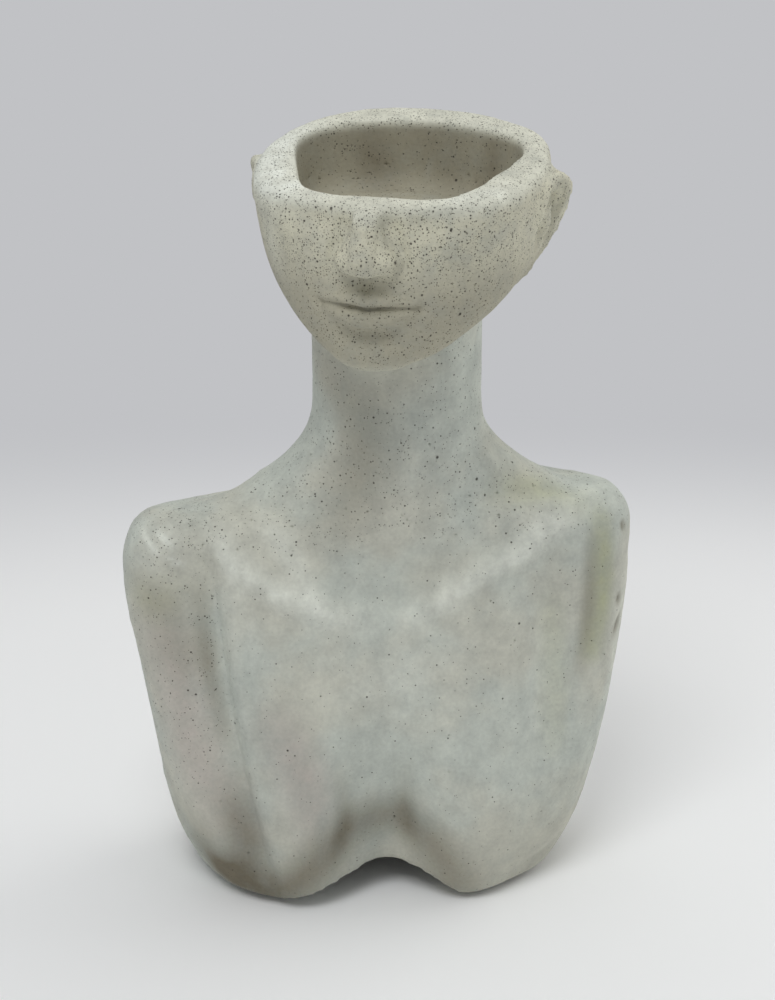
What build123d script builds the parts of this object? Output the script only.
"""Head planter: a cast concrete bust whose head is cut open at eye level as a planting well.

Frame: millimetres, +Z up, the chest faces -Y, origin on the floor at the middle of the plan box.
"""
import math
import os

from build123d import *

os.makedirs("parts", exist_ok=True)

# Torso
shoulder_half_width = 82.5
shoulder_height = 131.0
chest_depth = 41.0
back_depth = 30.0
torso_x = 0.0
torso_y = 11.5
torso_level_count = 30
collarbone_half_width = 6.0
collarbone_rise = 1.6

# Hollow under the torso
wall = 12.0
hollow_level_count = 12

# Arch under the chest
arch_left = 37.0
arch_right = 24.0
arch_height = 10.0
arch_peak_offset = 2.0

# Neck
neck_radius = 26.5
neck_offset = 6.5
neck_flare_height = 29.0

# Head, turned to the bust's right, with its rim lower towards the face
head_forward = 10.5
head_turn = 20.0
head_half_width = 43.5
head_front = 38.0
head_back = 45.5
rim_height = 243.5
rim_tilt = 7.0
rim_edge = 3.6
eye_to_chin = 54.0
head_level_count = 16

# Planting well
well_half_width = 33.0
well_front = 28.5
well_back = 30.5
well_depth = 17.5
well_draft = 2.0
well_floor_radius = 6.0
well_edge = 1.0
well_level_count = 8

# Drain sleeve and its stopper
sleeve_radius = 6.0
sleeve_wall = 1.5
sleeve_drop = 4.0
stopper_clearance = 0.1
stopper_flange_radius = 9.0
stopper_flange_height = 1.2
stopper_flange_edge = 0.4
stopper_stem_length = 11.0
stopper_stem_taper = 4.0
stopper_tab_width = 7.0
stopper_tab_height = 1.4
stopper_tab_thickness = 2.4

# Foot pads
pad_radius = 4.5
pad_height = 1.5
pad_edge = 0.4
front_pad_point = 6
rear_pad_point = 2

# Face
nose_length = 23.0
nose_half_width = 10.5
nose_reach = 12.5
nose_flank_share = 0.62
nose_depth = 12.0
mouth_drop = 33.5
mouth_half_width = 14.5
mouth_reach = 41.0
mouth_curve_radius = 30.0
lip_height = 5.0
lip_reach = 2.2

# Ears
ear_length = 33.0
ear_width = 20.0
ear_thickness = 4.5
ear_depth = 12.0
ear_inset = 4.0
ear_drop = 21.0
ear_back = -3.0
ear_flare = 25.0
ear_splay = 20.0
ear_lean = 18.0
ear_hollow_depth = 1.5

overrun = 5.0


def outline(plane, points):
    """Closes a smooth outline through the points of one level."""
    with BuildSketch(plane) as level:
        with BuildLine():
            Spline(*points, periodic=True)
        make_face()
    return level.sketch


def mixed(plans, form):
    """A plan between two neighbours of a row of plans."""
    first = min(int(form), len(plans) - 2)
    share = form - first
    return [
        ((1 - share) * a[0] + share * b[0], (1 - share) * a[1] + share * b[1])
        for a, b in zip(plans[first], plans[first + 1])
    ]


def plan_points(plan, reach, front, back, x, y):
    """Points of one level round (x, y), from the middle of the back round the right side."""
    half = [(x + reach * a, y + (back if b > 0 else front) * b) for a, b in plan]
    other = [(x - reach * a, y + (back if b > 0 else front) * b) for a, b in plan[1:-1]]
    return half + other[::-1]


def end_slope(slopes, i):
    """The slope at a station that keeps a curve from overshooting it."""
    before = slopes[max(i - 1, 0)]
    after = slopes[min(i, len(slopes) - 1)]
    if before * after <= 0:
        return 0
    return 2 * before * after / (before + after)


def smooth_stations(stations, count):
    """Evenly spaced stations on a smooth curve through the given ones, with no overshoot."""
    steps = [math.dist(a[:2], b[:2]) for a, b in zip(stations, stations[1:])]
    places = [sum(steps[:i]) for i in range(len(stations))]
    found = []
    for n in range(count):
        place = places[-1] * n / (count - 1)
        i = max(j for j in range(len(steps)) if j == 0 or places[j] <= place)
        share = (place - places[i]) / steps[i]
        row = []
        for values in zip(*stations):
            slopes = [(b - a) / step for a, b, step in zip(values, values[1:], steps)]
            row.append(
                (2 * share**3 - 3 * share**2 + 1) * values[i]
                + (share**3 - 2 * share**2 + share) * steps[i] * end_slope(slopes, i)
                + (3 * share**2 - 2 * share**3) * values[i + 1]
                + (share**3 - share**2) * steps[i] * end_slope(slopes, i + 1)
            )
        found.append(row)
    return found


# Plans of the torso, as shares of its half width and of its front and back depth
torso_plan_shares = [
    # Base, with the two lobes of the chest and the valley between them
    [(0, 0.96), (0.34, 1), (0.66, 0.90), (0.90, 0.55), (1, 0), (0.93, -0.47),
     (0.80, -0.74), (0.70, -0.84), (0.48, -1), (0.24, -0.93), (0, -0.72)],
    # Chest, with a groove in front of each arm
    [(0, 0.94), (0.34, 1), (0.68, 0.93), (0.92, 0.62), (1, 0.02), (0.94, -0.52),
     (0.81, -0.72), (0.70, -0.73), (0.46, -0.98), (0.24, -1), (0, -0.95)],
    # Shoulders
    [(0, 0.95), (0.34, 1), (0.68, 0.92), (0.92, 0.62), (1, 0), (0.94, -0.52),
     (0.82, -0.72), (0.71, -0.75), (0.46, -0.86), (0.24, -0.95), (0, -1)],
    # Crest between shoulder and neck
    [(0, 1), (0.26, 0.93), (0.50, 0.70), (0.80, 0.42), (1, 0), (0.95, -0.22),
     (0.82, -0.40), (0.68, -0.52), (0.45, -0.74), (0.24, -0.93), (0, -1)],
    # Neck
    [(0, 1), (0.31, 0.95), (0.59, 0.81), (0.81, 0.59), (1, 0), (0.95, -0.31),
     (0.81, -0.59), (0.67, -0.74), (0.45, -0.89), (0.23, -0.97), (0, -1)],
]

# Torso levels: rise, half width, front and back depth, and the plan's place in its row
torso_level_shares = [
    (0.000, 0.700, 0.90, 0.88, 0.00),
    (0.018, 0.745, 0.95, 0.94, 0.00),
    (0.060, 0.785, 0.98, 0.97, 0.00),
    (0.150, 0.842, 1.00, 1.00, 0.10),
    (0.270, 0.888, 0.99, 1.00, 0.35),
    (0.400, 0.928, 0.93, 0.99, 0.70),
    (0.550, 0.965, 0.85, 0.97, 0.90),
    (0.700, 0.992, 0.77, 0.94, 1.00),
    (0.800, 1.000, 0.72, 0.91, 1.25),
    (0.880, 0.994, 0.68, 0.87, 1.50),
    (0.940, 0.975, 0.66, 0.84, 1.80),
    (0.980, 0.935, 0.65, 0.82, 2.20),
]

# Neck root levels: rise, spread from neck to shoulder, front and back, and the plan's place
flare_level_shares = [
    (0.05, 0.84, 0.99, 0.93, 2.6),
    (0.12, 0.62, 0.98, 0.95, 3.0),
    (0.25, 0.41, 0.97, 0.96, 3.2),
    (0.42, 0.24, 0.97, 0.97, 3.5),
    (0.62, 0.11, 0.99, 0.99, 3.8),
    (0.85, 0.03, 1.00, 1.00, 4.0),
    (1.00, 0.00, 1.00, 1.00, 4.0),
]
neck_form = len(torso_plan_shares) - 1

# Line of each collarbone, from the shoulder to the breastbone, as shares of half width and height
left_collarbone_shares = [(-0.64, 0.95), (-0.54, 0.89), (-0.43, 0.85), (-0.32, 0.81), (-0.19, 0.78), (-0.06, 0.76)]
right_collarbone_shares = [(0.68, 0.96), (0.57, 0.92), (0.45, 0.89), (0.34, 0.86), (0.22, 0.81), (0.08, 0.76)]

# Plans of the head, as shares of its half width and half depth
head_plan_shares = [
    # Brow
    [(0, 1), (0.36, 0.95), (0.70, 0.76), (0.92, 0.42), (1, 0), (0.97, -0.33),
     (0.88, -0.62), (0.73, -0.80), (0.52, -0.91), (0.27, -0.98), (0, -1)],
    # Cheeks
    [(0, 1), (0.36, 0.95), (0.70, 0.76), (0.92, 0.42), (1, 0), (0.95, -0.32),
     (0.82, -0.60), (0.65, -0.79), (0.44, -0.92), (0.22, -0.985), (0, -1)],
    # Jaw
    [(0, 1), (0.38, 0.93), (0.72, 0.71), (0.93, 0.38), (1, 0), (0.93, -0.36),
     (0.79, -0.62), (0.62, -0.80), (0.42, -0.92), (0.21, -0.98), (0, -1)],
]

# Head levels: drop from rim to chin, half width, front and back, and the plan's place in its row
head_level_shares = [
    (-0.20, 0.980, 0.97, 0.985, 0.0),
    (0.00, 1.000, 1.00, 1.000, 0.0),
    (0.15, 1.020, 1.04, 1.000, 0.4),
    (0.37, 0.990, 1.07, 0.950, 1.0),
    (0.56, 0.910, 1.08, 0.830, 1.4),
    (0.74, 0.745, 1.08, 0.500, 2.0),
    (0.88, 0.545, 1.04, 0.130, 2.0),
    (0.96, 0.400, 1.00, -0.120, 2.0),
    (1.00, 0.270, 0.94, -0.300, 2.0),
]
neck_top_share = 0.48
hollow_top_share = 0.9

# Opening of the well, as shares of its half width and of its front and back depth
well_plan_shares = [
    (0, 1), (0.30, 0.96), (0.62, 0.84), (0.88, 0.67), (1, 0.43), (0.95, 0),
    (0.87, -0.30), (0.78, -0.60), (0.65, -0.86), (0.40, -1), (0, -1),
]

# Nose levels: drop, half width and reach
nose_level_shares = [
    (-0.16, 0.50, 0.34),
    (0.14, 0.50, 0.46),
    (0.42, 0.62, 0.62),
    (0.68, 0.82, 0.86),
    (0.88, 1.00, 1.00),
    (1.02, 0.92, 0.70),
]

# Ear outline, as shares of its width and length, from the lobe round the back to the front
ear_outline_shares = [
    (-0.02, -0.48), (0.28, -0.38), (0.63, -0.14), (0.92, 0.14), (1.00, 0.34),
    (0.80, 0.49), (0.40, 0.47), (0.06, 0.22), (-0.12, -0.12), (-0.14, -0.40),
]

# Size and shift of the ear's rim, its root in the head and its hollow
ear_form_shares = [(1, 0), (0.6, -0.1), (0.62, 0.16)]

# Places along a lip, as shares of the mouth's half width
lip_place_shares = [-0.98, -0.75, -0.4, 0, 0.4, 0.75, 0.98]

# How far before its line a collarbone starts to swell, as a share of one step
end_margin_share = 0.25

# Shoulders of the arch beside its peak
arch_shoulder_place_share = 0.55
arch_shoulder_height_share = 0.66

torso_rise = shoulder_height - pad_height
neck_x = torso_x + neck_offset
neck_top_height = rim_height - eye_to_chin * neck_top_share
well_floor_height = rim_height - well_depth


def torso_station(level):
    """Height, reach, front, back, plan and middle of one torso level."""
    rise, reach, front, back, form = level
    return (
        pad_height + torso_rise * rise,
        shoulder_half_width * reach,
        chest_depth * front,
        back_depth * back,
        form,
        torso_x,
    )


def flare_station(level):
    """Height, reach, front, back, plan and middle of one level of the neck's root."""
    rise, spread, front, back, form = level
    return (
        shoulder_height + neck_flare_height * rise,
        neck_radius + (shoulder_half_width - neck_radius) * spread,
        neck_radius * front,
        neck_radius * back,
        form,
        torso_x + neck_offset * (1 - spread),
    )


def torso_points(station, inset):
    """Points of one torso level, drawn in by a thickness."""
    height, reach, front, back, form, middle = station
    plan = mixed(torso_plan_shares, form)
    return plan_points(plan, reach - inset, front - inset, back - inset, middle, torso_y)


# Torso, shoulders and neck in one skin
skin_stations = [torso_station(level) for level in torso_level_shares]
skin_stations += [flare_station(level) for level in flare_level_shares]
skin_stations.append((neck_top_height, neck_radius, neck_radius, neck_radius, neck_form, neck_x))
with BuildPart() as torso_and_neck:
    loft([
        outline(Plane.XY.offset(s[0]), torso_points(s, 0))
        for s in smooth_stations(skin_stations, torso_level_count)
    ])



def collarbone(path_shares):
    """One collarbone, laid on the skin of the chest and swelling in the middle."""
    line = []
    for across, rise in path_shares:
        start = (torso_x + shoulder_half_width * across, torso_y - 2 * chest_depth, shoulder_height * rise)
        hits = torso_and_neck.part.find_intersection_points(Axis(start, (0, 1, 0)))
        line.append(min(hits, key=lambda hit: hit[0].Y))
    sections = []
    for i, (point, normal) in enumerate(line):
        way = line[min(i + 1, len(line) - 1)][0] - line[max(i - 1, 0)][0]
        place = (i + end_margin_share) / (len(line) - 1 + 2 * end_margin_share)
        swell = math.sqrt(1 - (2 * place - 1) ** 2)
        with BuildSketch(Plane(point, x_dir=normal.cross(way), z_dir=way)) as section:
            Ellipse(collarbone_half_width * swell, collarbone_rise * swell)
        sections.append(section.sketch)
    with BuildPart() as ridge:
        loft(sections)
    return ridge.part


# Head, in a frame with its middle at the rim, its face towards -Y and its left towards +X
head_frame = Plane((neck_x, torso_y - head_forward, rim_height)).rotated((0, 0, -head_turn))
rim_normal = head_frame.z_dir.rotate(Axis((0, 0, 0), head_frame.x_dir), rim_tilt)
rim_plane = Plane(head_frame.origin, x_dir=head_frame.x_dir, z_dir=rim_normal)
head_stations = [
    (eye_to_chin * drop, head_half_width * reach, head_front * front, head_back * back, form)
    for drop, reach, front, back, form in head_level_shares
]


def head_outline(station):
    """The outline of one level of the head."""
    drop, reach, front, back, form = station
    middle = (back - front) / 2
    depth = (back + front) / 2
    points = plan_points(mixed(head_plan_shares, form), reach, depth, depth, 0, middle)
    return outline(head_frame.offset(-drop), points)


with BuildPart() as head:
    loft([head_outline(s) for s in smooth_stations(head_stations, head_level_count)])
    split(bisect_by=rim_plane, keep=Keep.BOTTOM)
    fillet(head.faces().filter_by(rim_plane).edges(), rim_edge)

# Planting well, with a level floor and a rounded foot
well_corner_share = 1 - math.sqrt(0.5)
well_stations = [
    (0, -well_floor_radius),
    (well_floor_radius * well_corner_share, -well_floor_radius * well_corner_share),
    (well_floor_radius, 0),
    (well_depth + 2 * overrun, well_draft),
]


def well_outline(station):
    """The outline of one level of the well."""
    rise, out = station
    points = plan_points(well_plan_shares, well_half_width + out, well_front + out, well_back + out, 0, 0)
    return outline(head_frame.offset(rise - well_depth), points)


with BuildPart() as well:
    loft([well_outline(s) for s in smooth_stations(well_stations, well_level_count)])


def nose_outline(level):
    """The outline of one level of the nose, closed inside the face."""
    drop, reach, forward = level
    side = nose_half_width * reach
    tip = head_front + nose_reach * forward
    flank = (side * nose_flank_share, -head_front - nose_reach * forward * nose_flank_share)
    root = nose_depth - head_front
    with BuildSketch(head_frame.offset(-nose_length * drop)) as section:
        with BuildLine():
            Spline((-side, -head_front), (-flank[0], flank[1]), (0, -tip), flank, (side, -head_front))
            Polyline((side, -head_front), (side, root), (-side, root), (-side, -head_front))
        make_face()
    return section.sketch


with BuildPart() as nose:
    loft([nose_outline(level) for level in nose_level_shares])
    split(bisect_by=rim_plane, keep=Keep.BOTTOM)


def lip(side):
    """One lip, swelling in the middle and wrapped round the face; side is 1 above and -1 below."""
    sections = []
    for place in lip_place_shares:
        across = mouth_half_width * place
        swell = math.sqrt(1 - place**2)
        back = mouth_curve_radius - math.sqrt(mouth_curve_radius**2 - across**2)
        drop = mouth_drop - side * lip_height / 2 * swell
        middle = head_frame.origin + head_frame.x_dir * across
        middle += head_frame.y_dir * (back - mouth_reach) - head_frame.z_dir * drop
        with BuildSketch(Plane(middle, x_dir=head_frame.y_dir, z_dir=head_frame.x_dir)) as section:
            Ellipse(lip_reach * swell, lip_height / 2 * swell)
        sections.append(section.sketch)
    with BuildPart() as body:
        loft(sections)
    return body.part


def ear(side):
    """One ear, cupped and rooted in the head; side is 1 on the left and -1 on the right."""
    flare = math.radians(ear_flare)
    out = head_frame.x_dir * side
    across = head_frame.y_dir * math.cos(flare) + out * math.sin(flare)
    up = head_frame.z_dir + out * math.tan(math.radians(ear_splay))
    up += head_frame.y_dir * math.tan(math.radians(ear_lean))
    root = head_frame.origin + out * (head_half_width - ear_inset)
    root += head_frame.y_dir * ear_back - head_frame.z_dir * ear_drop
    face = Plane(root, x_dir=across, z_dir=across.cross(up) * side)
    rim, rear, hollow = [
        [(ear_width * (share * a + shift), side * ear_length * share * b) for a, b in ear_outline_shares]
        for share, shift in ear_form_shares
    ]
    with BuildPart() as body:
        loft([outline(face, rim), outline(face.offset(-ear_thickness), rim)])
        loft([outline(face.offset(-ear_thickness), rim), outline(face.offset(-ear_depth), rear)])
        extrude(outline(face, hollow), amount=-ear_hollow_depth, mode=Mode.SUBTRACT)
    return body.part


# Hollow of the torso, open below
hollow_stations = [torso_station(level) for level in torso_level_shares if level[0] <= hollow_top_share]
with BuildPart() as torso_hollow:
    loft([
        outline(Plane.XY.offset(s[0]), torso_points(s, wall))
        for s in smooth_stations(hollow_stations, hollow_level_count)
    ])
    extrude(outline(Plane.XY.offset(pad_height), torso_points(hollow_stations[0], wall)), amount=-overrun)
hollow_top_height = hollow_stations[-1][0]

# Arch through the front wall, under the chest
arch_peak = (torso_x + arch_peak_offset, pad_height + arch_height)
arch_foot_left = (torso_x - arch_left, pad_height)
arch_foot_right = (torso_x + arch_right, pad_height)
arch_shoulders = [
    (
        arch_peak[0] + (foot[0] - arch_peak[0]) * arch_shoulder_place_share,
        pad_height + arch_height * arch_shoulder_height_share,
    )
    for foot in (arch_foot_left, arch_foot_right)
]
with BuildPart() as arch:
    with BuildSketch(Plane.XZ.offset(-torso_y)):
        with BuildLine():
            Spline(arch_foot_left, arch_shoulders[0], arch_peak, arch_shoulders[1], arch_foot_right)
            Polyline(
                arch_foot_right,
                (arch_foot_right[0], -overrun),
                (arch_foot_left[0], -overrun),
                arch_foot_left,
            )
        make_face()
    extrude(amount=chest_depth + overrun)

# Drain passage, from the floor of the well through the neck to the hollow
drain_plane = head_frame.offset(-well_depth)
drain_length = well_floor_height - hollow_top_height
with BuildPart() as drain_passage:
    with BuildSketch(drain_plane.offset(overrun)):
        Circle(sleeve_radius)
    extrude(amount=-drain_length - 2 * overrun)

with BuildPart() as bust_casting:
    add(torso_and_neck.part)
    add([collarbone(left_collarbone_shares), collarbone(right_collarbone_shares)])
    add(head.part)
    add(nose.part)
    add([lip(1), lip(-1), ear(1), ear(-1)])
    add([well.part, torso_hollow.part, arch.part, drain_passage.part], mode=Mode.SUBTRACT)
    rim_face = bust_casting.faces().filter_by(rim_plane).sort_by(SortBy.AREA)[-1]
    fillet(rim_face.inner_wires()[0].edges(), well_edge)
bust_casting.part.label = "bust_casting"
export_step(bust_casting.part, "parts/bust_casting.step")

# Sleeve cast into the neck, flush with the floor of the well and proud of the hollow's ceiling
with BuildPart() as drain_sleeve:
    with BuildSketch(drain_plane):
        Circle(sleeve_radius)
        Circle(sleeve_radius - sleeve_wall, mode=Mode.SUBTRACT)
    extrude(amount=-drain_length - sleeve_drop)
drain_sleeve.part.label = "drain_sleeve"
export_step(drain_sleeve.part, "parts/drain_sleeve.step")

# Stopper: a flange on the floor of the well, a stem in the sleeve and a low tab to pull
stem_radius = sleeve_radius - sleeve_wall - stopper_clearance
with BuildPart() as drain_stopper:
    with BuildSketch(drain_plane):
        Circle(stopper_flange_radius)
    extrude(amount=stopper_flange_height)
    flange_rim = drain_stopper.edges().filter_by(GeomType.CIRCLE).sort_by(Axis.Z)[-1]
    fillet(flange_rim, stopper_flange_edge)
    with BuildSketch(drain_plane):
        Circle(stem_radius)
    extrude(amount=-stopper_stem_length, taper=stopper_stem_taper)
    with BuildSketch(drain_plane.offset(stopper_flange_height)):
        RectangleRounded(stopper_tab_width, stopper_tab_thickness, stopper_tab_thickness / 3)
    extrude(amount=stopper_tab_height)
drain_stopper.part.label = "drain_stopper"
export_step(drain_stopper.part, "parts/drain_stopper.step")

# Pads glued under the wall, on its middle line
foot_points = torso_points(hollow_stations[0], wall / 2)
pad_points = {
    "foot_pad_front_left": foot_points[front_pad_point],
    "foot_pad_front_right": foot_points[-front_pad_point],
    "foot_pad_rear_left": foot_points[rear_pad_point],
    "foot_pad_rear_right": foot_points[-rear_pad_point],
}
for name, point in pad_points.items():
    with BuildPart() as foot_pad:
        with BuildSketch(Plane.XY.shift_origin(point)):
            Circle(pad_radius)
        extrude(amount=pad_height)
        fillet(foot_pad.edges().group_by(Axis.Z)[0], pad_edge)
    foot_pad.part.label = name
    export_step(foot_pad.part, f"parts/{name}.step")
